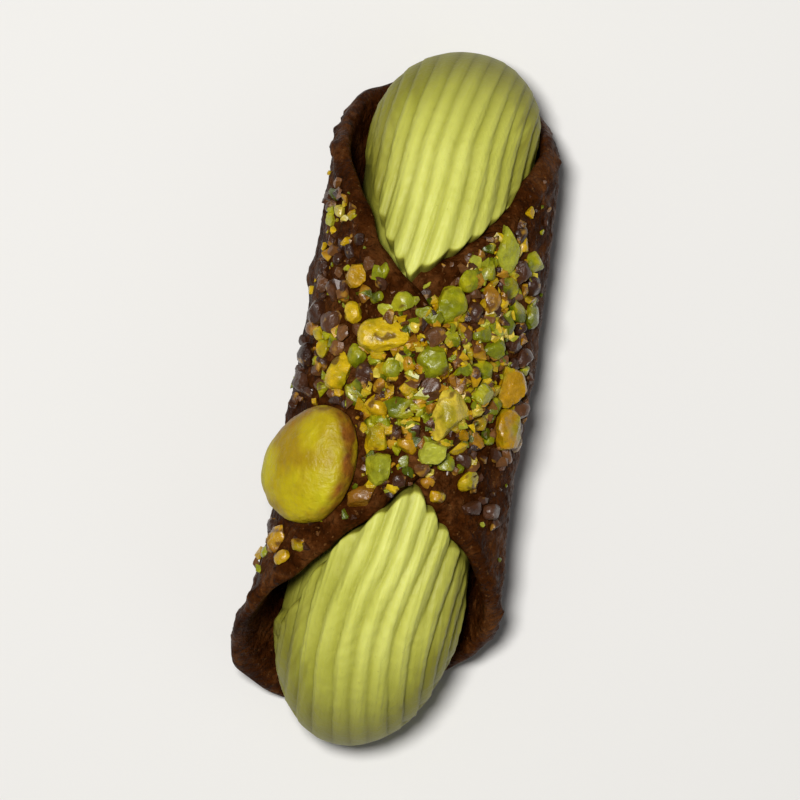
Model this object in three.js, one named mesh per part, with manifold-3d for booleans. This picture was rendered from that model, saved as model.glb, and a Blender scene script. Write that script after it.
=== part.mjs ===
// A filled cannolo: a thin wafer sheet rolled into a tube with its two side corners lapped on top,
// coated in dark chocolate and strewn with chopped pistachio. Ridged pistachio cream fills the tube
// from end to end and swells out of the V-shaped opening at each end.
// Units are millimetres. +Z is up, +Y runs along the roll, and the origin is the middle of the flat
// spot on which the roll rests.
import * as THREE from "three";
import { mergeVertices } from "three/addons/utils/BufferGeometryUtils.js";
import Module from "manifold-3d";

// Driving dimensions of the roll
const HALF_LENGTH = 40.4; // from the middle to the tip of the cream
const WAFER = 1.9; // coated wafer, through its thickness
const MID_RADIUS = 12.35; // from the roll's axis to the middle of the wafer
const WRAP_RADIUS = 13.2; // where the sheet's width is measured round the roll
const FLAT_DEPTH = 0.45; // how much of the underside is flat where the roll rests
const AXIS_HEIGHT = MID_RADIUS + WAFER / 2 - FLAT_DEPTH;
const CLEARANCE = 0.32; // between the wafer and what touches it

// The sheet before rolling: a square on its corner with slightly bowed sides and blunt corners.
// A bow is the power of its outline: 1 has straight sides, 2 is an ellipse. Here and below, far is
// the +Y end and near the -Y end.
const SHEET_HALF_LENGTH = 41;
const SHEET_HALF_WIDTH = 53;
const LAP_BOW = 1.14; // towards the lapped corners
const END_BOW_LEFT = { far: 1.36, near: 1.29 }; // towards the ends of the roll
const END_BOW_RIGHT = { far: 1.25, near: 1.08 };
const END_BOW_FROM = 0.55; // angles on the sheet between which the one bow turns into the other
const END_BOW_TO = 1.15;
const CORNER_REACH = 0.97;
const CORNER_BLUNTNESS = 12;
// The corner under the near end is cut short on its right, between these angles from its tip
const CUT_CORNER_REACH = 0.8;
const CUT_CORNER_FROM = [-0.15, 0.2];
const CUT_CORNER_TO = [1.2, 0.8];
const EDGE_SCALE = 34; // millimetres from the middle of the sheet to a side
const FLAP_SHIFT = 2.0; // both lapped corners lie this far towards +Y
const FLAP_SKEW = 2.0; // and the roll is this much out of square
const HALF_TURN = Math.PI * WRAP_RADIUS;

// How the two corners lap
const LAP_RISE = 1.25; // the upper corner climbs over the lower one
const LAP_DIP = 0.4; // the lower one is pressed in
const LAP_START = Math.PI / 2;
const LAP_END = Math.PI - 0.75;
// The edges curl outwards by this much at the sides, or inwards where the number is negative
const FLARE_LEFT = { far: 0.0, near: 3.4 };
const FLARE_RIGHT = { far: -1.9, near: 0.2 };
const FLARE_REACH = 5;
const FLARE_CHANGE = [5, -22]; // the far value turns into the near one between these places
const RIM_SHARE = 0.5; // thickness left at the very edge
const RIM_WIDTH = 1.2;

// Blisters of the fried wafer
const BLISTER_SEED = 11;
const BLISTER_COUNT = 70;
const BLISTER_RADIUS = [1.5, 3.4];
const BLISTER_HEIGHT = [0.3, 0.85];
const BLISTERS_ALONG = [-0.9, 0.9]; // shares of the sheet over which they lie
const BLISTERS_AROUND = [-0.95, 0.95];

// Cream
const HIDDEN_RADIUS = 10.8; // inside the tube
const CREAM_HALF_WIDTH = { far: 9.4, near: 10.3 };
const WIDTH_CHANGE = [-20, 24]; // the near width turns into the far one between these places
const CREAM_TOP_RADIUS = 14.55; // above the axis where the cream swells out of the opening
const CREAM_TIP_HEIGHT = 8.0; // of the point at each end
const TOP_SLOPE_START = 14; // the top starts to fall this far from the middle
const SIDE_ROUND_START = { far: 30.5, near: 24 }; // the sides start to close
const UNDER_ROUND_START = 33.4; // the underside starts to rise
const RIDGE_DEPTH = 0.5;
const RIDGE_COUNT = 28; // all round
const RIDGE_TWIST = { far: 0.018, near: 0.012 }; // radians for each millimetre along the roll
const RIDGE_BEND = { y: -25, softness: 4 }; // here the near ridges turn the other way
const TIP_LEAN = { far: 1.0, near: -1.9 }; // the tips lie this far to the side
const LEAN_START = { far: 28, near: 8 };
const LEAN_POWER = 1.3;
const SWELL_BEFORE = 0.6; // the cream starts to swell this far inside the wafer's edge
const SWELL_AFTER = 1.0; // and has swollen this far outside it
const SWELL_LIMIT = 26; // beyond this the wafer's edge is too low to shape it
const HALVINGS = 30; // steps in which the place of the wafer's edge is found
const CREAM_ROWS = [0.12, 0.26, 0.4, 0.54, 0.67, 0.78, 0.87, 0.94, 0.98]; // from there to the tip

// Whole kernel on the left shoulder: its middle lies this far from the roll's axis
const KERNEL = { x: -10.0, y: -8.8, length: 14, width: 11, height: 6.4, turn: 0.4 };
const KERNEL_TILT = -0.61;
const KERNEL_REACH = 16.1;
const KERNEL_FLATNESS = 0.85; // power that flattens its faces
const KERNEL_TAPER = 0.14; // narrower by this share at one end, wider at the other

// The largest pistachio pieces: where each lies seen from above, its length, width and turn
const LARGE_PIECES = [
  { x: -4.1, y: 6.6, length: 6.0, width: 4.1, turn: 1.45 },
  { x: 4.1, y: -1.2, length: 6.2, width: 4.4, turn: 0.4 },
  { x: 2.9, y: 11.0, length: 4.6, width: 3.4, turn: 0.1 },
  { x: 1.5, y: 4.5, length: 3.8, width: 3.5, turn: -0.6 },
  { x: -8.3, y: 1.6, length: 4.2, width: 3.5, turn: 0.9 },
  { x: 11.2, y: 3.4, length: 4.7, width: 4.2, turn: 0.8 },
  { x: 11.6, y: -1.6, length: 4.7, width: 4.2, turn: -0.2 },
  { x: -2.3, y: -8.2, length: 3.8, width: 3.4, turn: 0.4 },
  { x: -3.0, y: -4.9, length: 3.1, width: 2.8, turn: 0.2 },
  { x: 3.0, y: -5.5, length: 3.4, width: 3.1, turn: 0.7 },
  { x: 8.8, y: 18.4, length: 5.4, width: 2.8, turn: -0.1 },
  { x: 7.7, y: 12.6, length: 3.6, width: 2.4, turn: 0.1 },
  { x: -7.9, y: 12.8, length: 3.3, width: 2.9, turn: 0.4 },
  { x: -2.8, y: 10.6, length: 3.0, width: 2.2, turn: 1.3 },
  { x: -1.1, y: -1.1, length: 3.6, width: 2.5, turn: 1.5 },
  { x: 8.9, y: 6.9, length: 3.1, width: 2.5, turn: 1.2 },
  { x: 4.6, y: 14.2, length: 2.8, width: 2.5, turn: 0.5 },
  { x: 8.4, y: -8.0, length: 2.8, width: 2.4, turn: 1.2 },
  { x: -3.7, y: -11.6, length: 3.4, width: 2.4, turn: 1.3 },
  { x: -11.3, y: -17.8, length: 3.4, width: 2.3, turn: 0.1 },
];
const PIECE_SEED = 5;
const PIECE_HEIGHT = 0.8; // of a piece's width
const PIECE_LIFT = 0.12; // of its height, from the surface to its middle
const PIECE_UNEVENNESS = [0.92, 1.2]; // how far its corners reach
const TWENTY_SIDED_FROM = 2.2; // length of the shortest piece with 20 sides, the others have 8

// Smaller chopped pieces, drawn at random, the larger sizes first
const SMALL_SIZES = [
  { count: 42, size: [2.3, 3.2] },
  { count: 150, size: [1.4, 2.2] },
];
const SLIMNESS = [0.68, 0.95]; // width as a share of length
const SCATTER_SEED = 77;
const SCATTER_X = [-13.4, 13.4];
const SCATTER_Y = [-20, 26];
const TRIES = 60; // draws for each piece before it is given up
const CROWDING = 0.4; // least distance between two pieces, as a share of their sizes together
// Where the pieces fell: centre and reach seen from above, and how thickly they lie
const STREWN = [
  { x: 2, y: 2.5, reachX: 9.5, reachY: 9.5, share: 1 },
  { x: 9, y: 13, reachX: 5, reachY: 7.5, share: 0.8 },
  { x: -10, y: 1, reachX: 4.5, reachY: 6, share: 0.5 },
  { x: -8, y: 12, reachX: 4.5, reachY: 5, share: 0.22 },
  { x: 12, y: 2, reachX: 4, reachY: 7, share: 0.5 },
  { x: -2, y: -9, reachX: 4, reachY: 4, share: 0.5 },
  { x: -11, y: -18, reachX: 4, reachY: 5, share: 0.2 },
];
const STREWN_EDGE = [1.3, 0.6]; // squared share of the reach over which they thin out
const STRAY_SHARE = 0.02;
const KERNEL_ROOM = 0; // clear of the kernel's outline seen from above
const OPENING_ROOM = 0.3; // clear of the openings

// Sheet grid: cells along each side of the square
const SHEET_CELLS = 28;

const COLOURS = {
  shell: { color: 0x4b2f20, roughness: 0.45, metalness: 0 },
  cream: { color: 0xcdd074, roughness: 0.6, metalness: 0 },
  kernel: { color: 0xb8a02c, roughness: 0.5, metalness: 0 },
};

const wasm = await Module();
wasm.setup();

function smooth(from, to, value) {
  const share = Math.min(1, Math.max(0, (value - from) / (to - from)));
  return share * share * (3 - 2 * share);
}

function mix(a, b, share) {
  return a + (b - a) * share;
}

// A small seeded random generator, so that the pieces fall alike every time
function makeRandom(seed) {
  let state = seed;
  return () => {
    state = (Math.imul(state, 1664525) + 1013904223) >>> 0;
    return state / 4294967296;
  };
}

// Radius of the sheet's outline in the direction of an angle, as a share of its half diagonals
function outlineRadius(angle) {
  const [u, v] = [Math.cos(angle), Math.sin(angle)];
  const endBow = v > 0 ? END_BOW_LEFT : END_BOW_RIGHT;
  const towardsEnd = smooth(END_BOW_TO, END_BOW_FROM, Math.atan2(Math.abs(v), Math.abs(u)));
  const bow = mix(LAP_BOW, u > 0 ? endBow.far : endBow.near, towardsEnd);
  const bowed = (Math.abs(u) ** bow + Math.abs(v) ** bow) ** (-1 / bow);
  const fromNear = Math.atan2(-v, -u);
  const cut = smooth(...CUT_CORNER_FROM, fromNear) * smooth(...CUT_CORNER_TO, fromNear);
  const reach = mix(CORNER_REACH, CUT_CORNER_REACH, cut);
  return (bowed ** -CORNER_BLUNTNESS + reach ** -CORNER_BLUNTNESS) ** (-1 / CORNER_BLUNTNESS);
}

// Millimetres from a point of the flat sheet in to its edge, negative outside it
function edgeDistance(along, around) {
  const u = along / SHEET_HALF_LENGTH;
  const v = around / SHEET_HALF_WIDTH;
  const angle = Math.atan2(v, u);
  return (1 - Math.hypot(u, v) / outlineRadius(angle)) * EDGE_SCALE;
}

// How far the lapped corners are moved along the roll
function alongShift(around) {
  const share = around / HALF_TURN;
  return FLAP_SHIFT * share * share - FLAP_SKEW * share;
}

// Gentle unevenness of the roll, by the angle from the top and the place along it
function undulation(angle, y) {
  return 0.15 * Math.sin(3 * angle + 0.12 * y) + 0.12 * Math.sin(5 * angle - 0.21 * y + 1);
}

const blisters = [];
{
  const random = makeRandom(BLISTER_SEED);
  for (let i = 0; i < BLISTER_COUNT; i++) {
    blisters.push({
      along: mix(...BLISTERS_ALONG, random()) * SHEET_HALF_LENGTH,
      around: mix(...BLISTERS_AROUND, random()) * SHEET_HALF_WIDTH,
      radius: mix(...BLISTER_RADIUS, random()),
      height: mix(...BLISTER_HEIGHT, random() ** 2),
    });
  }
}

// Height of the blisters at a point of the flat sheet
function blisterHeight(along, around) {
  let height = 0;
  for (const b of blisters) {
    const away = ((along - b.along) ** 2 + (around - b.around) ** 2) / b.radius ** 2;
    if (away < 1) height = Math.max(height, b.height * (1 - away) ** 1.5);
  }
  return height;
}

// Distance from the roll's axis to the middle of the wafer at a point of the flat sheet
function midRadius(along, around) {
  const turn = around / WRAP_RADIUS;
  const lap = smooth(LAP_START, LAP_END, Math.abs(turn));
  const step = around > 0 ? LAP_RISE * lap : -LAP_DIP * lap;
  const curl = Math.exp(-Math.max(0, edgeDistance(along, around)) / FLARE_REACH);
  const ends = around > 0 ? FLARE_LEFT : FLARE_RIGHT;
  const share = smooth(...FLARE_CHANGE, along);
  const flare = mix(ends.far, ends.near, share) * curl * Math.sin(turn) ** 2;
  const angle = turn + (around > 0 ? -Math.PI : Math.PI);
  return MID_RADIUS + step + flare + undulation(angle, along + alongShift(around));
}

// A point of the rolled sheet, offset outwards from the middle of the wafer
function rolledPoint(along, around, offset) {
  const turn = around / WRAP_RADIUS;
  const radius = midRadius(along, around) + offset;
  return [
    -radius * Math.sin(turn),
    along + alongShift(around),
    AXIS_HEIGHT - radius * Math.cos(turn),
  ];
}

// The outside of the roll at an angle from the top (positive towards +X) and a place along it:
// the upper flap where it reaches, otherwise the lower one. edge is the distance to that flap's
// edge, negative in an opening, and within is the distance to the nearest opening.
function outside(angle, y) {
  let found = null;
  let within = -Infinity;
  for (const turn of [angle + Math.PI, angle - Math.PI]) {
    const around = turn * WRAP_RADIUS;
    const along = y - alongShift(around);
    const edge = edgeDistance(along, around);
    within = Math.max(within, edge);
    if (!found || (edge > 0 && found.edge <= 0) || (found.edge <= 0 && edge > found.edge)) {
      found = { along, around, edge };
    }
  }
  const radius =
    midRadius(found.along, found.around) + WAFER / 2 + blisterHeight(found.along, found.around);
  return { radius, edge: found.edge, within };
}

// A manifold solid from vertices [x, y, z] and triangles of their numbers
function solidFrom(points, triangles) {
  const geometry = new THREE.BufferGeometry();
  geometry.setAttribute("position", new THREE.Float32BufferAttribute(points.flat(), 3));
  geometry.setIndex(triangles.flat());
  return solidOf(geometry);
}

function solidOf(geometry) {
  const bare = new THREE.BufferGeometry();
  bare.setAttribute("position", geometry.getAttribute("position"));
  if (geometry.index) bare.setIndex(geometry.index);
  const merged = mergeVertices(bare, 1e-4);
  return new wasm.Manifold(
    new wasm.Mesh({
      numProp: 3,
      vertProperties: new Float32Array(merged.attributes.position.array),
      triVerts: new Uint32Array(merged.index.array),
    }),
  );
}

// Keeps the largest body of a cut solid, without loose scraps or sealed hollows
function largestBody(solid) {
  return solid.decompose().reduce((a, b) => (b.volume() > a.volume() ? b : a));
}

function geometryOf(solid) {
  const mesh = solid.getMesh();
  const geometry = new THREE.BufferGeometry();
  geometry.setAttribute("position", new THREE.BufferAttribute(mesh.vertProperties, 3));
  geometry.setIndex(new THREE.BufferAttribute(mesh.triVerts, 1));
  geometry.computeVertexNormals();
  return geometry;
}

// Closes two matching layers of vertices: the outer faces, the inner ones turned round, and a wall
// along every open edge
function closeSlab(outer, inner, triangles) {
  const count = outer.length;
  const faces = [];
  const open = new Map();
  for (const [a, b, c] of triangles) {
    faces.push([a, b, c], [count + a, count + c, count + b]);
    for (const [from, to] of [[a, b], [b, c], [c, a]]) {
      if (!open.delete(`${to} ${from}`)) open.set(`${from} ${to}`, [from, to]);
    }
  }
  for (const [from, to] of open.values()) {
    faces.push([to, from, count + from], [to, count + from, count + to]);
  }
  return solidFrom([...outer, ...inner], faces);
}

// Grid values from -1 to 1, evenly spaced but for a narrow last cell that forms the rim
function gridValues(cells) {
  const rim = RIM_WIDTH / EDGE_SCALE;
  const values = [-1];
  for (let i = 0; i <= cells - 2; i++) values.push(mix(-1 + rim, 1 - rim, i / (cells - 2)));
  values.push(1);
  return values;
}

// One half of the sheet, rolled: side 1 carries the upper flap, -1 the lower one. grow thickens it
// all round.
function sheetHalf(side, grow) {
  const values = gridValues(SHEET_CELLS);
  const reach = 1 + grow / EDGE_SCALE;
  const number = new Map();
  const outer = [];
  const inner = [];
  const vertex = (i, j) => {
    const key = `${i} ${j}`;
    if (number.has(key)) return number.get(key);
    const [p, q] = [values[i], values[j]];
    const [u, v] = [(p + q) / 2, (p - q) / 2];
    const size = Math.max(Math.abs(p), Math.abs(q));
    const angle = Math.atan2(v, u);
    const bow = outlineRadius(angle) * (Math.abs(Math.cos(angle)) + Math.abs(Math.sin(angle)));
    const stretch = mix(1, bow, size * size) * reach;
    const along = u * stretch * SHEET_HALF_LENGTH;
    const around = v * stretch * SHEET_HALF_WIDTH;
    const half = (WAFER / 2) * (size === 1 ? RIM_SHARE : 1);
    outer.push(rolledPoint(along, around, half + grow + blisterHeight(along, around)));
    inner.push(rolledPoint(along, around, -half - grow));
    number.set(key, outer.length - 1);
    return outer.length - 1;
  };
  const triangles = [];
  for (let i = 0; i < SHEET_CELLS; i++) {
    for (let j = 0; j < SHEET_CELLS; j++) {
      const [a, b, c, d] = [[i, j], [i + 1, j], [i + 1, j + 1], [i, j + 1]];
      if (side > 0 ? i >= j : i < j) triangles.push([a, b, c]);
      if (side > 0 ? i > j : i <= j) triangles.push([a, c, d]);
    }
  }
  const faces = triangles.map((corners) => corners.map(([i, j]) => vertex(i, j)));
  return closeSlab(outer, inner, faces);
}

function rolledSheet(grow) {
  return sheetHalf(1, grow).add(sheetHalf(-1, grow));
}

// Frame that stands on a point with its upright tilted towards +X and its +Y turned clockwise
function standingFrame(point, tilt, turn) {
  const up = new THREE.Vector3(Math.sin(tilt), 0, Math.cos(tilt));
  const ahead = new THREE.Vector3(0, 1, 0);
  const right = new THREE.Vector3().crossVectors(ahead, up);
  const frame = new THREE.Matrix4().makeBasis(right, ahead, up);
  frame.multiply(new THREE.Matrix4().makeRotationZ(-turn));
  return frame.setPosition(...point);
}

// The angle from the top at which the outside of the roll lies at x, seen from above
function angleAt(x) {
  return Math.asin(Math.max(-1, Math.min(1, x / (MID_RADIUS + WAFER))));
}

// A chopped piece: a ball of few sides, its corners pushed in and out, stretched to its size
function choppedPiece(piece, random) {
  const rough =
    piece.length > TWENTY_SIDED_FROM
      ? new THREE.IcosahedronGeometry(1, 0)
      : new THREE.OctahedronGeometry(1, 0);
  const bare = new THREE.BufferGeometry().setAttribute("position", rough.getAttribute("position"));
  const ball = mergeVertices(bare, 1e-3);
  const position = ball.getAttribute("position");
  for (let i = 0; i < position.count; i++) {
    const corner = new THREE.Vector3().fromBufferAttribute(position, i);
    corner.multiplyScalar(mix(...PIECE_UNEVENNESS, random()));
    position.setXYZ(i, corner.x, corner.y, corner.z);
  }
  const height = piece.width * PIECE_HEIGHT;
  const angle = angleAt(piece.x);
  const radius = outside(angle, piece.y).radius + PIECE_LIFT * height;
  const middle = [radius * Math.sin(angle), piece.y, AXIS_HEIGHT + radius * Math.cos(angle)];
  ball.scale(piece.width / 2, piece.length / 2, height / 2);
  ball.applyMatrix4(standingFrame(middle, angle, piece.turn));
  return solidOf(ball);
}

// How thickly the pieces lie at a place seen from above, from 0 to 1
function strewnShare(x, y) {
  let share = STRAY_SHARE;
  for (const area of STREWN) {
    const away = ((x - area.x) / area.reachX) ** 2 + ((y - area.y) / area.reachY) ** 2;
    share = Math.max(share, area.share * smooth(...STREWN_EDGE, away));
  }
  return share;
}

// Millimetres from a place seen from above to the kernel's outline, negative inside it
function kernelDistance(x, y) {
  const [dx, dy] = [x - KERNEL.x, y - KERNEL.y];
  const across = dx * Math.cos(KERNEL.turn) - dy * Math.sin(KERNEL.turn);
  const along = dx * Math.sin(KERNEL.turn) + dy * Math.cos(KERNEL.turn);
  return Math.hypot(across, (along * KERNEL.width) / KERNEL.length) - KERNEL.width / 2;
}

// True if a piece of that size fits: on the wafer, clear of the openings, the kernel and its kind
function fits(x, y, size, placed) {
  if (outside(angleAt(x), y).within < size / 2 + OPENING_ROOM) return false;
  if (kernelDistance(x, y) < KERNEL_ROOM + size / 2) return false;
  return placed.every((other) => {
    const away = Math.hypot((angleAt(x) - angleAt(other.x)) * WRAP_RADIUS, y - other.y);
    return away > CROWDING * (size + (other.length + other.width) / 2);
  });
}

// The large pieces, then the smaller ones drawn by how thickly they lie
function scatterPieces() {
  const random = makeRandom(SCATTER_SEED);
  const placed = LARGE_PIECES.filter((piece) => fits(piece.x, piece.y, piece.width, []));
  for (const { count, size: sizes } of SMALL_SIZES) {
    for (let i = 0; i < count; i++) {
      const size = mix(...sizes, random());
      const turn = random() * Math.PI;
      const slim = mix(...SLIMNESS, random());
      for (let tries = 0; tries < TRIES; tries++) {
        const x = mix(...SCATTER_X, random());
        const y = mix(...SCATTER_Y, random());
        if (random() > strewnShare(x, y) || !fits(x, y, size, placed)) continue;
        placed.push({ x, y, length: size, width: size * slim, turn });
        break;
      }
    }
  }
  return placed;
}

function buildShell() {
  const random = makeRandom(PIECE_SEED);
  let shell = rolledSheet(0);
  for (const piece of scatterPieces()) shell = shell.add(choppedPiece(piece, random));
  const reach = 4 * HALF_LENGTH;
  const below = new THREE.BoxGeometry(reach, reach, reach);
  below.deleteAttribute("normal");
  below.deleteAttribute("uv");
  below.translate(0, 0, -reach / 2);
  return largestBody(shell.subtract(solidOf(below)));
}

// Share left of a rounded end, from 1 where it starts to 0 at the tip
function roundedShare(y, start) {
  const share = Math.max(0, Math.abs(y) - start) / (HALF_LENGTH - start);
  return Math.sqrt(Math.max(0, 1 - share * share));
}

// A point of the cream where it has swollen, at an angle from the top and a place along the roll:
// x, its height above the roll's axis, and how wide the cream still is there
function swollenPoint(angle, y) {
  const end = y > 0 ? "far" : "near";
  const side = roundedShare(y, SIDE_ROUND_START[end]);
  const middle = mix(CREAM_TIP_HEIGHT - AXIS_HEIGHT, 0, side);
  const tip = CREAM_TIP_HEIGHT - AXIS_HEIGHT;
  const top = mix(tip, CREAM_TOP_RADIUS, roundedShare(y, TOP_SLOPE_START));
  const bottom = mix(tip, -HIDDEN_RADIUS, roundedShare(y, UNDER_ROUND_START));
  const rise = Math.cos(angle);
  const height = rise > 0 ? top - middle : middle - bottom;
  const halfWidth = mix(CREAM_HALF_WIDTH.near, CREAM_HALF_WIDTH.far, smooth(...WIDTH_CHANGE, y));
  const toTip = Math.max(0, Math.abs(y) - LEAN_START[end]) / (HALF_LENGTH - LEAN_START[end]);
  const lean = TIP_LEAN[end] * toTip ** LEAN_POWER;
  return { x: halfWidth * side * Math.sin(angle) + lean, z: middle + height * rise, side };
}

// Angle from the top of a ridge, which winds slowly round the roll
function ridgeAngle(column, y) {
  if (y > 0) return column.angle + y * RIDGE_TWIST.far;
  const bend = Math.hypot(y - RIDGE_BEND.y, RIDGE_BEND.softness);
  const bendAtMiddle = Math.hypot(RIDGE_BEND.y, RIDGE_BEND.softness);
  return column.angle + (bend - bendAtMiddle) * RIDGE_TWIST.near;
}

// How far along the roll the wafer's edge crosses a ridge, towards the end whose sign is given
function edgePlace(column, end) {
  let [near, far] = [0, HALF_LENGTH];
  for (let i = 0; i < HALVINGS; i++) {
    const y = ((near + far) / 2) * end;
    const { x, z } = swollenPoint(ridgeAngle(column, y), y);
    if (outside(Math.atan2(x, z), y).edge > 0) near = y * end;
    else far = y * end;
  }
  return near;
}

// A point of the cream's surface: swell is 0 inside the tube and 1 where it has swollen
function creamPoint(column, y, swell) {
  const { x, z, side } = swollenPoint(ridgeAngle(column, y), y);
  const radius = Math.hypot(x, z);
  const inside = Math.min(1, HIDDEN_RADIUS / radius);
  const depth = (RIDGE_DEPTH / 2) * column.ridge * side * swell;
  const scale = mix(inside, 1, swell) + depth / radius;
  return [x * scale, y, AXIS_HEIGHT + z * scale];
}

// Lines along the cream: a groove and a crest in turn
function creamColumns() {
  const steps = RIDGE_COUNT * 2;
  return Array.from({ length: steps }, (_, i) => ({
    angle: mix(-Math.PI, Math.PI, i / steps),
    ridge: i % 2 ? 1 : -1,
  }));
}

// Rows of cream points from the wafer's edge to the tip at one end
function creamRows(columns, end) {
  const edges = columns.map((column) => Math.min(edgePlace(column, end), SWELL_LIMIT));
  const row = (place, swell) =>
    columns.map((column, i) => creamPoint(column, place(edges[i]) * end, swell));
  return [
    row((edge) => edge - SWELL_BEFORE, 0),
    row((edge) => edge + SWELL_AFTER, 1),
    ...CREAM_ROWS.map((share) => row((edge) => mix(edge + SWELL_AFTER, HALF_LENGTH, share), 1)),
  ];
}

function buildCream() {
  const columns = creamColumns();
  const rows = [...creamRows(columns, -1).reverse(), ...creamRows(columns, 1)];
  const points = rows.flat();
  const ring = columns.length;
  const triangles = [];
  for (let row = 0; row + 1 < rows.length; row++) {
    for (let i = 0; i < ring; i++) {
      const [a, b] = [row * ring + i, row * ring + ((i + 1) % ring)];
      triangles.push([a, b, a + ring], [b, b + ring, a + ring]);
    }
  }
  const [nearTip, farTip] = [points.length, points.length + 1];
  points.push([TIP_LEAN.near, -HALF_LENGTH, CREAM_TIP_HEIGHT]);
  points.push([TIP_LEAN.far, HALF_LENGTH, CREAM_TIP_HEIGHT]);
  const last = (rows.length - 1) * ring;
  for (let i = 0; i < ring; i++) {
    const next = (i + 1) % ring;
    triangles.push([nearTip, next, i], [farTip, last + i, last + next]);
  }
  return solidFrom(points, triangles);
}

// A whole kernel, blunter at one end, bedded in the coating
function buildKernel() {
  const ball = new THREE.SphereGeometry(1, 18, 12);
  ball.deleteAttribute("normal");
  ball.deleteAttribute("uv");
  const position = ball.getAttribute("position");
  for (let i = 0; i < position.count; i++) {
    const corner = new THREE.Vector3().fromBufferAttribute(position, i);
    const taper = 1 - KERNEL_TAPER * corner.y;
    position.setXYZ(
      i,
      (corner.x * taper * KERNEL.width) / 2,
      (corner.y * KERNEL.length) / 2,
      (Math.sign(corner.z) * Math.abs(corner.z) ** KERNEL_FLATNESS * KERNEL.height) / 2,
    );
  }
  const height = AXIS_HEIGHT + Math.sqrt(KERNEL_REACH ** 2 - KERNEL.x ** 2);
  ball.applyMatrix4(standingFrame([KERNEL.x, KERNEL.y, height], KERNEL_TILT, KERNEL.turn));
  return solidOf(ball);
}

function namedMesh(name, solid) {
  const mesh = new THREE.Mesh(geometryOf(solid), new THREE.MeshStandardMaterial(COLOURS[name]));
  mesh.name = name;
  return mesh;
}

const cover = rolledSheet(CLEARANCE);
const cannolo = new THREE.Group();
cannolo.add(namedMesh("shell", buildShell()));
cannolo.add(namedMesh("cream", largestBody(buildCream().subtract(cover))));
cannolo.add(namedMesh("kernel", largestBody(buildKernel().subtract(cover))));

export default cannolo;
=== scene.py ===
import math

import bmesh
import bpy
import numpy as np
from mathutils import Matrix, Vector, noise


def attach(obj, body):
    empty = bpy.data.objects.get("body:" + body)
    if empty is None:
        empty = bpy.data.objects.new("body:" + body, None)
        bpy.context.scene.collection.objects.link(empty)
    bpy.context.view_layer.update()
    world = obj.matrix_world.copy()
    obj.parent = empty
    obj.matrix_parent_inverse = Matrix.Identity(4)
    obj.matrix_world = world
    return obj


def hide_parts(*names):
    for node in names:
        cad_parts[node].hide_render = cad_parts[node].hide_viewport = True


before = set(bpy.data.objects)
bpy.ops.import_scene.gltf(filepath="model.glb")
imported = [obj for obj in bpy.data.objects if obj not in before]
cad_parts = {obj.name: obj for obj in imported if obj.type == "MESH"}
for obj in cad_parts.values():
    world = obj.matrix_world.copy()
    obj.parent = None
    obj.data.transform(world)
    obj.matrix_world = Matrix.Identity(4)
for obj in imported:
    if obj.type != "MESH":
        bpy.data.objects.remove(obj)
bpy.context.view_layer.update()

# Millimetres, as in the part's source; meshes are scaled to metres when they are made
MM = 0.001

# The roll
HALF_LENGTH = 40.4
WAFER = 1.9
MID_RADIUS = 12.35
WRAP_RADIUS = 13.2  # where the sheet's width is measured round the roll
FLAT_DEPTH = 0.45  # how much of the underside is flat where the roll rests
AXIS_HEIGHT = MID_RADIUS + WAFER / 2 - FLAT_DEPTH

# The sheet before rolling. A bow is the power of its outline; far is +Y and near is -Y, and
# a pair holds the far value and the near one unless its name or comment says otherwise.
SHEET_HALF_LENGTH = 41
SHEET_HALF_WIDTH = 53
LAP_BOW = 1.14
END_BOW_LEFT = (1.36, 1.29)
END_BOW_RIGHT = (1.25, 1.08)
END_BOW_FROM = 0.55  # angles on the sheet between which the one bow turns into the other
END_BOW_TO = 1.15
CORNER_REACH = 0.97
CORNER_BLUNTNESS = 12
# The corner under the near end is cut short on its right, between these angles from its tip
CUT_CORNER_REACH = 0.8
CUT_CORNER_FROM = (-0.15, 0.2)
CUT_CORNER_TO = (1.2, 0.8)
EDGE_SCALE = 34  # from the middle of the sheet to a side
FLAP_SHIFT = 2.0  # both lapped corners lie this far towards +Y
FLAP_SKEW = 2.0  # and the roll is this much out of square
HALF_TURN = math.pi * WRAP_RADIUS
LAP_RISE = 1.25  # the upper corner climbs over the lower one
LAP_DIP = 0.4  # the lower one is pressed in
LAP_START = math.pi / 2
LAP_END = math.pi - 0.75
# The edges curl outwards by this much at the sides, or inwards where the number is negative
FLARE_LEFT = (0.0, 3.4)
FLARE_RIGHT = (-1.9, 0.2)
FLARE_REACH = 5
FLARE_CHANGE = (5, -22)  # the far value turns into the near one between these places
RIM_WIDTH = 1.2

# Blisters of the fried wafer
BLISTER_SEED = 11
BLISTER_COUNT = 70
BLISTERS_ALONG = (-0.9, 0.9)  # least and most, as shares of the sheet
BLISTERS_AROUND = (-0.95, 0.95)
BLISTER_RADIUS = (1.5, 3.4)  # least and most
BLISTER_HEIGHT = (0.3, 0.85)

# Cream
HIDDEN_RADIUS = 10.8
CREAM_FAR_HALF_WIDTH = 9.4
CREAM_NEAR_HALF_WIDTH = 10.3
WIDTH_CHANGE = (-20, 24)  # the near width turns into the far one between these places
CREAM_TOP_RADIUS = 14.55
CREAM_TIP_HEIGHT = 8.0
TOP_SLOPE_START = 14
SIDE_ROUND_FAR = 30.5
SIDE_ROUND_NEAR = 24
UNDER_ROUND_START = 33.4
FAR_TIP_LEAN = 1.0
NEAR_TIP_LEAN = -1.9
FAR_LEAN_START = 28
NEAR_LEAN_START = 8
LEAN_POWER = 1.3
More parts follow.
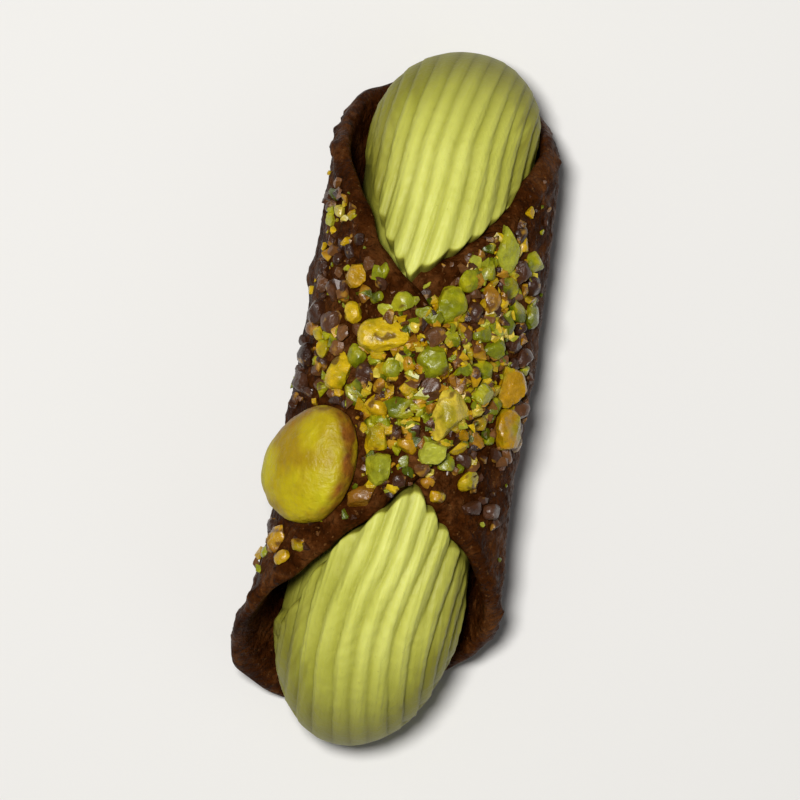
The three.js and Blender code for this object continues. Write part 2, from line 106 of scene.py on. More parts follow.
# The cream swells out of the wafer's edge, from so far inside it to so far beyond it
SWELL_BEFORE = 0.5
SWELL_AFTER = 1.3
SWELL_LIMIT = 26
HALVINGS = 30  # steps in which the place of the wafer's edge is found
RIDGE_DEPTH = 0.5
RIDGE_COUNT = 28
RIDGE_TWIST_FAR = 0.018
RIDGE_TWIST_NEAR = 0.012
RIDGE_BEND = -25
RIDGE_BEND_SOFTNESS = 4
RIDGE_OVERHANG = 0.8  # the crests reach this much further over the wafer's edge
RIDGE_ROUNDNESS = 1.8
LEAST_STRENGTH = 0.65  # of a ridge, as a share of RIDGE_DEPTH
STRENGTH_SPREAD = 0.6
NEAR_RIDGE_GAIN = 1.35
NEAR_RIDGE_FADE = 0.3  # power with which the near ridges fade at the tip
RIDGE_SWAY = 0.28  # in ridges, and the next line in radians for each millimetre
RIDGE_SWAY_WAVE = 0.19
# Noise over the cream: size, waves round the roll, waves for each millimetre along it, and seed.
# The first two are in ridges, by which a ridge strays; the others are relief in millimetres.
BROAD_STRAY = (0.3, 2.5, 0.05, 3.0)
NARROW_STRAY = (0.08, 8, 0.25, 5.0)
STREAKS = (0.12, 34, 0.14, 1.0)
CREAM_GRAIN = (0.06, 16, 1.3, 4.0)
CREAM_COLUMNS = 400
SWELL_ROWS = 9
TIP_ROWS = 112
TIP_CROWDING = 1.35  # power that sets the rows closer towards the tip
TIP_SHADE = (31, 39)  # painted shade: the cream's colour darkens between these distances from the middle
TIP_SHADE_SHARE = 0.55
PAINTED_LIGHT_FACING = (0.35, 0.97)  # painted light and shade: how far upwards the cream faces where it is painted darkest and where lightest

# The whole kernel on the left shoulder; its reach is from the roll's axis
KERNEL = dict(x=-10.0, y=-8.8, length=14, width=11, height=6.4, turn=0.4)
KERNEL_TILT = -0.61
KERNEL_REACH = 16.1
KERNEL_FLATNESS = 0.85
KERNEL_TAPER = 0.14

# The largest pistachio pieces: x, y, length, width, turn, kind and how light it is
LARGE_PIECES = [
    (-4.1, 6.6, 6.0, 4.1, 1.45, "yellow", 0.72),
    (4.1, -1.2, 6.2, 4.4, 0.4, "yellow", 0.86),
    (2.9, 11.0, 4.6, 3.4, 0.1, "green", 0.64),
    (1.5, 4.5, 3.8, 3.5, -0.6, "green", 0.66),
    (-8.3, 1.6, 4.2, 3.5, 0.9, "yellow", 0.68),
    (11.2, 3.4, 4.7, 4.2, 0.8, "yellow", 0.18),
    (11.6, -1.6, 4.7, 4.2, -0.2, "yellow", 0.2),
    (-2.3, -8.2, 3.8, 3.4, 0.4, "green", 0.8),
    (-3.0, -4.9, 3.1, 2.8, 0.2, "yellow", 0.55),
    (3.0, -5.5, 3.4, 3.1, 0.7, "green", 0.95),
    (8.8, 18.4, 5.4, 2.8, -0.1, "green", 0.9),
    (7.7, 12.6, 3.6, 2.4, 0.1, "ochre", 0.7),
    (-7.9, 12.8, 3.3, 2.9, 0.4, "yellow", 0.25),
    (-2.8, 10.6, 3.0, 2.2, 1.3, "green", 0.75),
    (-1.1, -1.1, 3.6, 2.5, 1.5, "green", 0.3),
    (8.9, 6.9, 3.1, 2.5, 1.2, "green", 0.5),
    (4.6, 14.2, 2.8, 2.5, 0.5, "green", 0.5),
    (8.4, -8.0, 2.8, 2.4, 1.2, "yellow", 0.72),
    (-3.7, -11.6, 3.4, 2.4, 1.3, "ochre", 0.4),
    (-11.3, -17.8, 3.4, 2.3, 0.1, "ochre", 0.6),
]
# Smaller pieces: how many, least and most size
SMALL_SIZES = [(42, 2.3, 3.2), (150, 1.4, 2.2)]
SCATTER_SEED = 77
SCATTER_X = (-13.4, 13.4)
SCATTER_Y = (-20, 26)
SLIMNESS = (0.68, 0.95)  # width of a piece as a share of its length
TRIES = 60
CROWDING = 0.4  # how close two pieces may lie, as a share of their sizes together
PIECE_SEED = 31
PIECE_HEIGHT = 0.8  # as a share of the width
PIECE_LIFT = 0.12  # middle of a piece above the wafer, as a share of the height
CUTS = 9  # planes that cut a piece
CUT_REACH = (0.5, 0.92)
CUT_SHARPNESS = 90
FINE_BALL_FROM = 3.3  # a longer piece has the finer mesh
COARSE_BALL = 3
FINE_BALL = 4
COATED_SHARE = (0.16, 0.66)  # of the pieces, where they lie thickly and where thinly
PIECE_SHARES = (0.45, 0.8)  # green below the first, yellow below the second, then ochre
SHARP_FROM = 24  # degrees between faces
CRUMB_COUNT = 1150
CRUMB_SIZE = (0.45, 1.7)
CRUMB_SIZE_POWER = 1.8  # more than 1 makes small crumbs the commoner ones
CRUMB_SHARES = (0.4, 0.82)
CRUMB_CORNERS = 11
CRUMB_BOX = (0.85, 1.1, 0.8)  # width, length and height as shares of the size
CRUMB_LIFT = 0.18
CRUMB_TRIES = 40
CRUMB_X = (-14.0, 14.0)
CRUMB_Y = (-26, 32)
CRUMB_ROOM = 0.2  # from the kernel
CRUMB_STRAYS = 0.05
CRUMB_SEED = 19
CRUMB_SHAPE_SEED = 53
# Crumbs alone lie here, as thickly as the last number says
CRUMBS_STREWN = [
    (-8, -15, 6, 7, 0.2),
    (-10, 17, 4, 9, 0.3),
    (10, -6, 4, 6, 0.14),
    (6, 15, 5, 5, 0.4),
]
# Where the pieces fell: centre, reach and how thickly
STREWN = [
    (2, 2.5, 9.5, 9.5, 1),
    (9, 13, 5, 7.5, 0.8),
    (-10, 1, 4.5, 6, 0.5),
    (-8, 12, 4.5, 5, 0.22),
    (12, 2, 4, 7, 0.5),
    (-2, -9, 4, 4, 0.5),
    (-11, -18, 4, 5, 0.2),
]
STREWN_EDGE = (1.3, 0.6)  # the pieces thin out between these squared shares of the reach
STRAY_SHARE = 0.02
KERNEL_ROOM = 0
OPENING_ROOM = 0.3

# The studio, in metres and watts
MIDDLE = (0, 0, 0.013)
FLOOR_REACH = 1.2
KEY_PLACE = (-0.09, 0.06, 0.735)
KEY_SIZE = 0.14
KEY_POWER = 5.1
FILL_PLACE = (0.5, -0.2, 0.5)
FILL_SIZE = 0.5
FILL_POWER = 0.15
WORLD_STRENGTH = 0.08
PICTURE_WIDTH = 0.0912  # at the height of MIDDLE
CAMERA_X = -0.00128
CAMERA_Y = -0.00025
CAMERA_TURN = 9.1  # degrees
LENS = 300  # this and the sensor in millimetres
SENSOR = 36


def smooth(start, end, value):
    share = np.clip((value - start) / (end - start), 0, 1)
    return share * share * (3 - 2 * share)


def mix(a, b, share):
    return a + (b - a) * share


def make_random(seed):
    state = [seed]

    def draw():
        state[0] = (state[0] * 1664525 + 1013904223) & 0xFFFFFFFF
        return state[0] / 4294967296

    return draw


# The sheet and the roll, by the same rules as the part's source


def outline_radius(angle):
    u, v = np.cos(angle), np.sin(angle)
    far = np.where(v > 0, END_BOW_LEFT[0], END_BOW_RIGHT[0])
    near = np.where(v > 0, END_BOW_LEFT[1], END_BOW_RIGHT[1])
    towards_end = smooth(END_BOW_TO, END_BOW_FROM, np.arctan2(np.abs(v), np.abs(u)))
    bow = mix(LAP_BOW, np.where(u > 0, far, near), towards_end)
    bowed = (np.abs(u) ** bow + np.abs(v) ** bow) ** (-1 / bow)
    from_near = np.arctan2(-v, -u)
    cut = smooth(*CUT_CORNER_FROM, from_near) * smooth(*CUT_CORNER_TO, from_near)
    reach = mix(CORNER_REACH, CUT_CORNER_REACH, cut)
    k = CORNER_BLUNTNESS
    return (bowed**-k + reach**-k) ** (-1 / k)


def edge_distance(along, around):
    u, v = along / SHEET_HALF_LENGTH, around / SHEET_HALF_WIDTH
    return (1 - np.hypot(u, v) / outline_radius(np.arctan2(v, u))) * EDGE_SCALE


def along_shift(around):
    share = around / HALF_TURN
    return FLAP_SHIFT * share * share - FLAP_SKEW * share


def undulation(angle, y):
    return 0.15 * np.sin(3 * angle + 0.12 * y) + 0.12 * np.sin(5 * angle - 0.21 * y + 1)


def make_blisters():
    random = make_random(BLISTER_SEED)
    found = []
    for _ in range(BLISTER_COUNT):
        along = mix(*BLISTERS_ALONG, random()) * SHEET_HALF_LENGTH
        around = mix(*BLISTERS_AROUND, random()) * SHEET_HALF_WIDTH
        radius = mix(*BLISTER_RADIUS, random())
        height = mix(*BLISTER_HEIGHT, random() ** 2)
        found.append((along, around, radius, height))
    return found


BLISTERS = make_blisters()


def blister_height(along, around):
    height = np.zeros(np.shape(along))
    for b_along, b_around, radius, tall in BLISTERS:
        away = ((along - b_along) ** 2 + (around - b_around) ** 2) / radius**2
        height = np.maximum(height, tall * np.clip(1 - away, 0, 1) ** 1.5)
    return height


def mid_radius(along, around):
    turn = around / WRAP_RADIUS
    lap = smooth(LAP_START, LAP_END, np.abs(turn))
    step = np.where(around > 0, LAP_RISE * lap, -LAP_DIP * lap)
    curl = np.exp(-np.maximum(0, edge_distance(along, around)) / FLARE_REACH)
    near = smooth(*FLARE_CHANGE, along)
    flare = np.where(around > 0, mix(*FLARE_LEFT, near), mix(*FLARE_RIGHT, near))
    angle = turn + np.where(around > 0, -math.pi, math.pi)
    level = MID_RADIUS + step + flare * curl * np.sin(turn) ** 2
    return level + undulation(angle, along + along_shift(around))


def rolled(along, around, offset):
    turn = around / WRAP_RADIUS
    radius = mid_radius(along, around) + offset
    x = -radius * np.sin(turn)
    z = AXIS_HEIGHT - radius * np.cos(turn)
    return np.stack([x, along + along_shift(around), z], axis=-1)


def outside(angle, y):
    """How far out the roll reaches, and the distances to the edge of the upper flap and to an opening."""
    angle, y = np.broadcast_arrays(np.asarray(angle, float), np.asarray(y, float))
    best = None
    within = None
    for turn in (angle + math.pi, angle - math.pi):
        around = turn * WRAP_RADIUS
        along = y - along_shift(around)
        edge = edge_distance(along, around)
        if best is None:
            best = [along, around, edge]
            within = edge
        else:
            within = np.maximum(within, edge)
            take = ((edge > 0) & (best[2] <= 0)) | ((best[2] <= 0) & (edge > best[2]))
            best = [np.where(take, new, old) for new, old in zip((along, around, edge), best)]
    along, around, edge = best
    return mid_radius(along, around) + WAFER / 2 + blister_height(along, around), edge, within


def angle_at(x):
    return math.asin(max(-1, min(1, x / (MID_RADIUS + WAFER))))


# Helpers that make meshes and materials


def fractal(points, scale, octaves, seed):
    shift = Vector((seed, seed * 1.7, -seed))
    return np.array([noise.fractal(Vector(p) * scale + shift, 1.0, 2.0, octaves) for p in points])


def mesh_object(name, points, faces):
    mesh = bpy.data.meshes.new(name)
    mesh.from_pydata([tuple(p) for p in np.asarray(points) * MM], [], [tuple(f) for f in faces])
    mesh.validate()
    mesh.update()
    mesh.polygons.foreach_set("use_smooth", [True] * len(mesh.polygons))
    obj = bpy.data.objects.new(name, mesh)
    bpy.context.scene.collection.objects.link(obj)
    return obj


def paint_attribute(obj, name, values):
    layer = obj.data.attributes.new(name, "FLOAT", "POINT")
    layer.data.foreach_set("value", np.asarray(values, dtype=np.float32))


def srgb(r, g, b):
    def linear(c):
        c /= 255
        return c / 12.92 if c <= 0.04045 else ((c + 0.055) / 1.055) ** 2.4

    return (linear(r), linear(g), linear(b), 1)


class Material:
    """A Principled material whose colour and bump are built up by noise."""

    def __init__(self, name, colour, roughness):
        self.material = bpy.data.materials.new(name)
        self.material.use_nodes = True
        self.tree = self.material.node_tree
        self.shader = self.tree.nodes["Principled BSDF"]
        self.shader.inputs["Base Color"].default_value = colour
        self.shader.inputs["Roughness"].default_value = roughness
        self.coords = self.node("ShaderNodeTexCoord").outputs["Object"]
        self.bump = None

    def node(self, kind, **settings):
        made = self.tree.nodes.new(kind)
        for key, value in settings.items():
            setattr(made, key, value)
        return made

    def link(self, start, end):
        self.tree.links.new(start, end)

    def noise(self, scale, detail=3.0, rough=0.55, stretch=None, seed=0.0):
        """Noise of that many features a metre; stretch scales the three axes."""
        mapping = self.node("ShaderNodeMapping")
        mapping.inputs["Scale"].default_value = stretch or (1, 1, 1)
        mapping.inputs["Location"].default_value = (seed, seed, seed)
        self.link(self.coords, mapping.inputs["Vector"])
        made = self.node("ShaderNodeTexNoise")
        made.inputs["Scale"].default_value = scale
        made.inputs["Detail"].default_value = detail
        made.inputs["Roughness"].default_value = rough
        self.link(mapping.outputs["Vector"], made.inputs["Vector"])
        return made.outputs["Fac"]

    def attribute(self, name):
        made = self.node("ShaderNodeAttribute")
        made.attribute_name = name
        return made.outputs["Fac"]

    def ramp(self, value, stops):
        made = self.node("ShaderNodeValToRGB")
        elements = made.color_ramp.elements
        while len(elements) < len(stops):
            elements.new(0.5)
        for element, (place, colour) in zip(elements, stops):
            element.position = place
            element.color = colour if isinstance(colour, tuple) else (colour,) * 3 + (1,)
        self.link(value, made.inputs["Fac"])
        return made.outputs["Color"]

    def blend(self, share, first, second, kind="MIX"):
        made = self.node("ShaderNodeMix", data_type="RGBA", blend_type=kind)
        for socket, value in ((made.inputs[0], share), (made.inputs[6], first), (made.inputs[7], second)):
            if isinstance(value, (tuple, float, int)):
                socket.default_value = value
            else:
                self.link(value, socket)
        return made.outputs[2]

    def to_colour(self, value):
        self.link(value, self.shader.inputs["Base Color"])

    def to_roughness(self, value):
        self.link(value, self.shader.inputs["Roughness"])

    def add_bump(self, value, distance, strength=1.0):
        made = self.node("ShaderNodeBump")
        made.inputs["Distance"].default_value = distance * MM
        made.inputs["Strength"].default_value = strength
        self.link(value, made.inputs["Height"])
        if self.bump:
            self.link(self.bump, made.inputs["Normal"])
        self.bump = made.outputs["Normal"]
        self.link(self.bump, self.shader.inputs["Normal"])


def chocolate_material():
    m = Material("dark_chocolate_coating", srgb(54, 27, 12), 0.45)
    # Browns mottled at random; the lightest of them is partly a painted sheen on the coating
    browns = [(0.3, srgb(40, 16, 2)), (0.5, srgb(64, 31, 7)), (0.7, srgb(100, 60, 28))]
    broad = m.ramp(m.noise(260, 4, 0.6), browns)
    fine = m.ramp(m.noise(1500, 3, 0.6, seed=4), [(0.35, 0.66), (0.65, 1.25)])
    colour = m.blend(1.0, broad, fine, "MULTIPLY")
    dust = m.ramp(m.noise(2300, 2, 0.5, seed=9), [(0.64, 0.0), (0.74, 0.6)])
    m.to_colour(m.blend(dust, colour, srgb(126, 88, 48)))
    m.to_roughness(m.ramp(m.noise(700, 3, seed=2), [(0.3, 0.3), (0.7, 0.55)]))
    m.add_bump(m.noise(420, 3, 0.5, seed=12), 0.8)
    m.add_bump(m.noise(1000, 4, 0.6, seed=1), 0.6)
    m.add_bump(m.noise(2600, 3, 0.6, seed=6), 0.2)
    m.shader.inputs["Specular IOR Level"].default_value = 0.03
    m.shader.inputs["Specular Tint"].default_value = (0.8, 0.5, 0.32, 1)
    return m.material


def coated_material():
    m = Material("chocolate_coated_nut", srgb(78, 46, 22), 0.4)
    browns = [(0.0, srgb(46, 22, 9)), (0.5, srgb(74, 42, 22)), (1.0, srgb(118, 76, 34))]
    own = m.ramp(m.attribute("tone"), browns)
    mottled = m.ramp(m.noise(900, 3, 0.6), [(0.3, 0.7), (0.7, 1.25)])
    colour = m.blend(1.0, own, mottled, "MULTIPLY")
    bare = m.ramp(m.noise(600, 2, 0.5, seed=5), [(0.6, 0.0), (0.68, 0.8)])
    m.to_colour(m.blend(bare, colour, srgb(170, 124, 36)))
    m.to_roughness(m.ramp(m.noise(900, 3, seed=2), [(0.3, 0.25), (0.7, 0.5)]))
    m.add_bump(m.noise(1100, 4, 0.6, seed=1), 0.3)
    m.shader.inputs["Specular IOR Level"].default_value = 0.4
    m.shader.inputs["Coat Weight"].default_value = 0.25
    m.shader.inputs["Coat Roughness"].default_value = 0.26
    return m.material


def cream_material():
    m = Material("pistachio_cream", srgb(200, 202, 96), 0.5)
    base = m.ramp(m.noise(120, 3, 0.5), [(0.3, srgb(190, 192, 84)), (0.7, srgb(206, 208, 104))])
    # Painted light and shade: lighter and whiter where the cream faces up, darker and more olive where it
    # faces aside and at the tips
    painted_light = m.ramp(m.attribute("painted_light"), [
        (0.0, (0.48, 0.45, 0.26, 1)),
        (0.3, (0.8, 0.79, 0.6, 1)),
        (0.7, (1.03, 1.03, 0.98, 1)),
        (1.0, (1.24, 1.25, 1.5, 1)),
    ])
    base = m.blend(1.0, base, painted_light, "MULTIPLY")
    # Painted shade in the grooves between the ridges, and a painted highlight on their crests
    painted_groove_shade = m.ramp(m.attribute("crest"), [
        (0.0, (0.74, 0.73, 0.6, 1)),
        (0.4, (0.88, 0.875, 0.8, 1)),
        (0.8, (1.0, 1.0, 1.0, 1)),
        (1.0, (1.05, 1.05, 1.07, 1)),
    ])
    colour = m.blend(1.0, base, painted_groove_shade, "MULTIPLY")
    specks = m.ramp(m.noise(3000, 2, 0.5, seed=3), [(0.7, 0.0), (0.78, 0.5)])
    m.to_colour(m.blend(specks, colour, srgb(158, 154, 60)))
    m.add_bump(m.noise(2500, 3, 0.6, stretch=(1, 0.16, 1)), 0.08)
    m.add_bump(m.noise(900, 3, 0.5, seed=5), 0.08)
    m.shader.inputs["Subsurface Weight"].default_value = 0.25
    m.shader.inputs["Subsurface Radius"].default_value = (1.0, 0.9, 0.4)
    m.shader.inputs["Subsurface Scale"].default_value = 0.0014
    m.shader.inputs["Specular IOR Level"].default_value = 0.3
    return m.material


# Kinds of nut: colours from the darkest tone to the lightest, colour of the core, and the noise
# from which brown skin shows
NUT_SKIN = srgb(84, 50, 20)
NUT_KINDS = {
    "green": (
        [
            (0.0, srgb(70, 82, 2)),
            (0.35, srgb(108, 116, 4)),
            (0.7, srgb(142, 146, 10)),
            (1.0, srgb(182, 184, 60)),
        ],
        srgb(176, 170, 18),
        0.64,
    ),
    "yellow": (
        [
            (0.0, srgb(168, 118, 4)),
            (0.4, srgb(196, 154, 6)),
            (0.75, srgb(212, 180, 16)),
            (1.0, srgb(226, 206, 84)),
        ],
        srgb(158, 146, 6),
        0.62,
    ),
    "ochre": (
        [(0.0, srgb(92, 54, 10)), (0.5, srgb(144, 96, 12)), (1.0, srgb(186, 134, 24))],
        srgb(206, 160, 30),
        0.56,
    ),
}


def nut_material(name, stops, core, skin_from):
    m = Material(name, stops[0][1], 0.4)
    own = m.ramp(m.attribute("tone"), stops)
    bared = m.ramp(m.noise(330, 2, 0.5, seed=11), [(0.5, 0.0), (0.62, 0.8)])
    two = m.blend(bared, own, core)
    mottled = m.ramp(m.noise(1000, 3, 0.6), [(0.3, 0.68), (0.55, 1.0), (0.75, 1.22)])
    colour = m.blend(1.0, two, mottled, "MULTIPLY")
    skin = m.ramp(m.noise(420, 2, 0.5, seed=7), [(skin_from, 0.0), (skin_from + 0.06, 0.8)])
    m.to_colour(m.blend(skin, colour, NUT_SKIN))
    m.to_roughness(m.ramp(m.noise(1200, 2, seed=2), [(0.3, 0.2), (0.7, 0.45)]))
    m.add_bump(m.noise(900, 4, 0.62, seed=3), 0.22)
    m.add_bump(m.noise(2600, 3, 0.6, seed=8), 0.08)
    m.shader.inputs["Subsurface Weight"].default_value = 0.15
    m.shader.inputs["Subsurface Radius"].default_value = (1.0, 0.8, 0.25)
    m.shader.inputs["Subsurface Scale"].default_value = 0.0007
    m.shader.inputs["Specular IOR Level"].default_value = 0.4
    m.shader.inputs["Coat Weight"].default_value = 0.3
    m.shader.inputs["Coat Roughness"].default_value = 0.24
    return m.material


def kernel_material():
    m = Material("pistachio_kernel", srgb(178, 152, 20), 0.46)
    yellows = [(0.3, srgb(168, 138, 4)), (0.48, srgb(192, 174, 8)), (0.7, srgb(208, 202, 24))]
    base = m.ramp(m.noise(170, 3, 0.5), yellows)
    streaks = m.ramp(m.noise(1300, 3, 0.6, stretch=(1, 0.3, 1)), [(0.3, 0.88), (0.7, 1.06)])
    colour = m.blend(1.0, base, streaks, "MULTIPLY")
    skin = m.ramp(m.noise(700, 3, 0.6, seed=2), [(0.35, srgb(104, 56, 14)), (0.65, srgb(150, 92, 20))])
    m.to_colour(m.blend(m.attribute("skin"), colour, skin))
    m.to_roughness(m.ramp(m.noise(600, 3), [(0.3, 0.38), (0.7, 0.56)]))
    m.add_bump(m.noise(600, 4, 0.55, seed=1), 0.35)
    m.add_bump(m.noise(2600, 2, 0.6), 0.08)
    m.shader.inputs["Subsurface Weight"].default_value = 0.12
    m.shader.inputs["Subsurface Radius"].default_value = (1.0, 0.8, 0.25)
    m.shader.inputs["Subsurface Scale"].default_value = 0.001
    m.shader.inputs["Specular IOR Level"].default_value = 0.35
    return m.material


# The coated wafer

SHEET_CELLS = 190
RIM_STEPS = (0.0, 0.12, 0.35, 0.7)
RAGGED = [(0.006, 9, 1), (0.004, 23, 0), (0.003, 41, 2)]  # waves of the edge: share, count and shift
LUMP_HEIGHT = 0.24
GRAIN_HEIGHT = 0.1
STREAK_HEIGHT = 0.22
STREAKS_FADE = (12, 5)  # millimetres from the edge
# Coating gathers in a bead along the edge
BEAD_PLACE = 1.3
BEAD_WIDTH = 0.8
BEAD_HEIGHT = 0.28


def sheet_values():
    rim = RIM_WIDTH / EDGE_SCALE
    inner = list(np.linspace(-1 + rim, 1 - rim, SHEET_CELLS - 2 * (len(RIM_STEPS) - 1)))
    outer = [1 - rim * step for step in RIM_STEPS]
    return np.array([-value for value in outer] + inner + outer[::-1])


def make_shell():
    values = sheet_values()
    count = len(values)
    p, q = np.meshgrid(values, values, indexing="ij")
    u, v = (p + q) / 2, (p - q) / 2
    size = np.maximum(np.abs(p), np.abs(q))
    angle = np.arctan2(v, u)
    bow = outline_radius(angle) * (np.abs(np.cos(angle)) + np.abs(np.sin(angle)))
    ragged = 1
    for depth, waves, shift in RAGGED:
        ragged = ragged + depth * np.sin(waves * angle + shift)
    stretch = mix(1, bow * ragged, size * size)
    along = u * stretch * SHEET_HALF_LENGTH
    around = v * stretch * SHEET_HALF_WIDTH
    inward = np.clip((1 - size) * EDGE_SCALE / RIM_WIDTH, 0, 1)
    half = WAFER / 2 * np.sqrt(np.clip(1 - (1 - inward) ** 2, 0, 1))
    flat = np.stack([along, around, np.zeros_like(along)], axis=-1).reshape(-1, 3)
    lumps = fractal(flat, 0.42, 3, 3.0).reshape(along.shape)
    grain = fractal(flat, 1.7, 3, 8.0).reshape(along.shape)
    from_edge = edge_distance(along, around)
    brushed = np.stack([from_edge * 0.9, along * 0.09 + 7, around * 0.09], axis=-1).reshape(-1, 3)
    streaks = fractal(brushed, 1.0, 2, 5.0).reshape(along.shape) * smooth(*STREAKS_FADE, from_edge)
    bead = np.exp(-(((from_edge - BEAD_PLACE) / BEAD_WIDTH) ** 2)) * (BEAD_HEIGHT + 0.35 * lumps)
    rough = LUMP_HEIGHT * lumps + GRAIN_HEIGHT * grain + STREAK_HEIGHT * streaks
    relief = blister_height(along, around) + rough + bead
    calm = smooth(0, 1, inward)
    top = rolled(along, around, half + relief * (0.35 + 0.65 * calm))
    under = rolled(along, around, -half + 0.08 * lumps * calm)
    points = np.concatenate([top.reshape(-1, 3), under.reshape(-1, 3)])
    points[:, 2] = np.maximum(points[:, 2], 0)
    # Two skins that share the points of the border
    index = np.arange(count * count).reshape(count, count)
    a, b, c, d = index[:-1, :-1], index[1:, :-1], index[1:, 1:], index[:-1, 1:]
    upper = np.stack([a, b, c, d], axis=-1).reshape(-1, 4)
    faces = [tuple(f) for f in upper]
    border = np.zeros((count, count), bool)
    border[0, :] = border[-1, :] = border[:, 0] = border[:, -1] = True
    below = np.where(border, index, index + count * count).reshape(-1)
    faces += [tuple(int(below[k]) for k in f[::-1]) for f in upper]
    used = sorted({k for f in faces for k in f})
    renumber = {k: i for i, k in enumerate(used)}
    faces = [tuple(renumber[k] for k in f) for f in faces]
    return mesh_object("coated_wafer", points[used], faces)


# The cream


def rounded_share(y, start):
    share = np.maximum(0, np.abs(y) - start) / (HALF_LENGTH - start)
    return np.sqrt(np.maximum(0, 1 - share * share))


def swollen(angle, y):
    side = rounded_share(y, np.where(y > 0, SIDE_ROUND_FAR, SIDE_ROUND_NEAR))
    tip = CREAM_TIP_HEIGHT - AXIS_HEIGHT
    middle = mix(tip, 0, side)
    top = mix(tip, CREAM_TOP_RADIUS, rounded_share(y, TOP_SLOPE_START))
    bottom = mix(tip, -HIDDEN_RADIUS, rounded_share(y, UNDER_ROUND_START))
    rise = np.cos(angle)
    height = np.where(rise > 0, top - middle, middle - bottom)
    half_width = mix(CREAM_NEAR_HALF_WIDTH, CREAM_FAR_HALF_WIDTH, smooth(*WIDTH_CHANGE, y))
    start = np.where(y > 0, FAR_LEAN_START, NEAR_LEAN_START)
    to_tip = (np.maximum(0, np.abs(y) - start) / (HALF_LENGTH - start)) ** LEAN_POWER
    lean = np.where(y > 0, FAR_TIP_LEAN, NEAR_TIP_LEAN) * to_tip
    return half_width * side * np.sin(angle) + lean, middle + height * rise, side


def ridge_angle(angles, y):
    bend = np.hypot(y - RIDGE_BEND, RIDGE_BEND_SOFTNESS) - math.hypot(RIDGE_BEND, RIDGE_BEND_SOFTNESS)
    return angles + np.where(y > 0, y * RIDGE_TWIST_FAR, bend * RIDGE_TWIST_NEAR)


def edge_places(angles, end):
    near, far = np.zeros(len(angles)), np.full(len(angles), HALF_LENGTH)
    for _ in range(HALVINGS):
        half = (near + far) / 2
        y = half * end
        x, z, _ = swollen(ridge_angle(angles, y), y)
        covered = outside(np.arctan2(x, z), y)[1] > 0
        near, far = np.where(covered, half, near), np.where(covered, far, half)
    return np.minimum(near, SWELL_LIMIT)


def cream_noise(kind, angles, y, end):
    """Noise over the cream that closes round the roll and differs at its two ends."""
    size, across, along, seed = kind
    start = seed + end
    return size * np.array([
        noise.noise(Vector((math.cos(a) * across, math.sin(a) * across, start + yy * along)))
        for a, yy in zip(angles, y)
    ])


def cream_ring(angles, y, swell, end):
    """One ring of cream points, and how near each is to a crest."""
    turned = ridge_angle(angles, y)
    x, z, side = swollen(turned, y)
    radius = np.hypot(x, z)
    # Seen from above the ridges stay parallel and run off the rounded end
    wound = (turned + math.pi) % (2 * math.pi) - math.pi
    at_side = np.arcsin(np.clip(side, 0, 1))
    below = math.pi - (math.pi - at_side) * (math.pi - np.abs(wound)) / (math.pi / 2)
    above = np.arcsin(np.clip(side * np.sin(np.abs(wound)), -1, 1))
    straight = np.sign(wound) * np.where(np.abs(wound) > math.pi / 2, below, above)
    source = angles + (straight - wound)
    broad = cream_noise(BROAD_STRAY, source, y, end)
    narrow = cream_noise(NARROW_STRAY, source, y, end)
    sway = RIDGE_SWAY * np.sin(RIDGE_SWAY_WAVE * y + 1.1)
    place = (source + math.pi) / (2 * math.pi) * RIDGE_COUNT + (broad + narrow + sway)
    share = place - np.floor(place)
    crest = 1 - np.abs(2 * share - 1) ** RIDGE_ROUNDNESS
    # No two neighbouring ridges are equally strong
    strength = LEAST_STRENGTH + STRENGTH_SPREAD * np.sin(np.floor(place) * 2.4 + end) ** 2
    streaks = cream_noise(STREAKS, source, y, end)
    grain = cream_noise(CREAM_GRAIN, angles, y, end)
    depth = RIDGE_DEPTH / 2 * (crest * 2 - 1) * strength + streaks + grain
    depth = depth * np.where(y > 0, np.sqrt(side), NEAR_RIDGE_GAIN * side**NEAR_RIDGE_FADE) * swell
    scale = mix(np.minimum(1, HIDDEN_RADIUS / radius), 1, swell) + depth / radius
    return np.stack([x * scale, y, AXIS_HEIGHT + z * scale], axis=-1), mix(0.5, crest, swell)


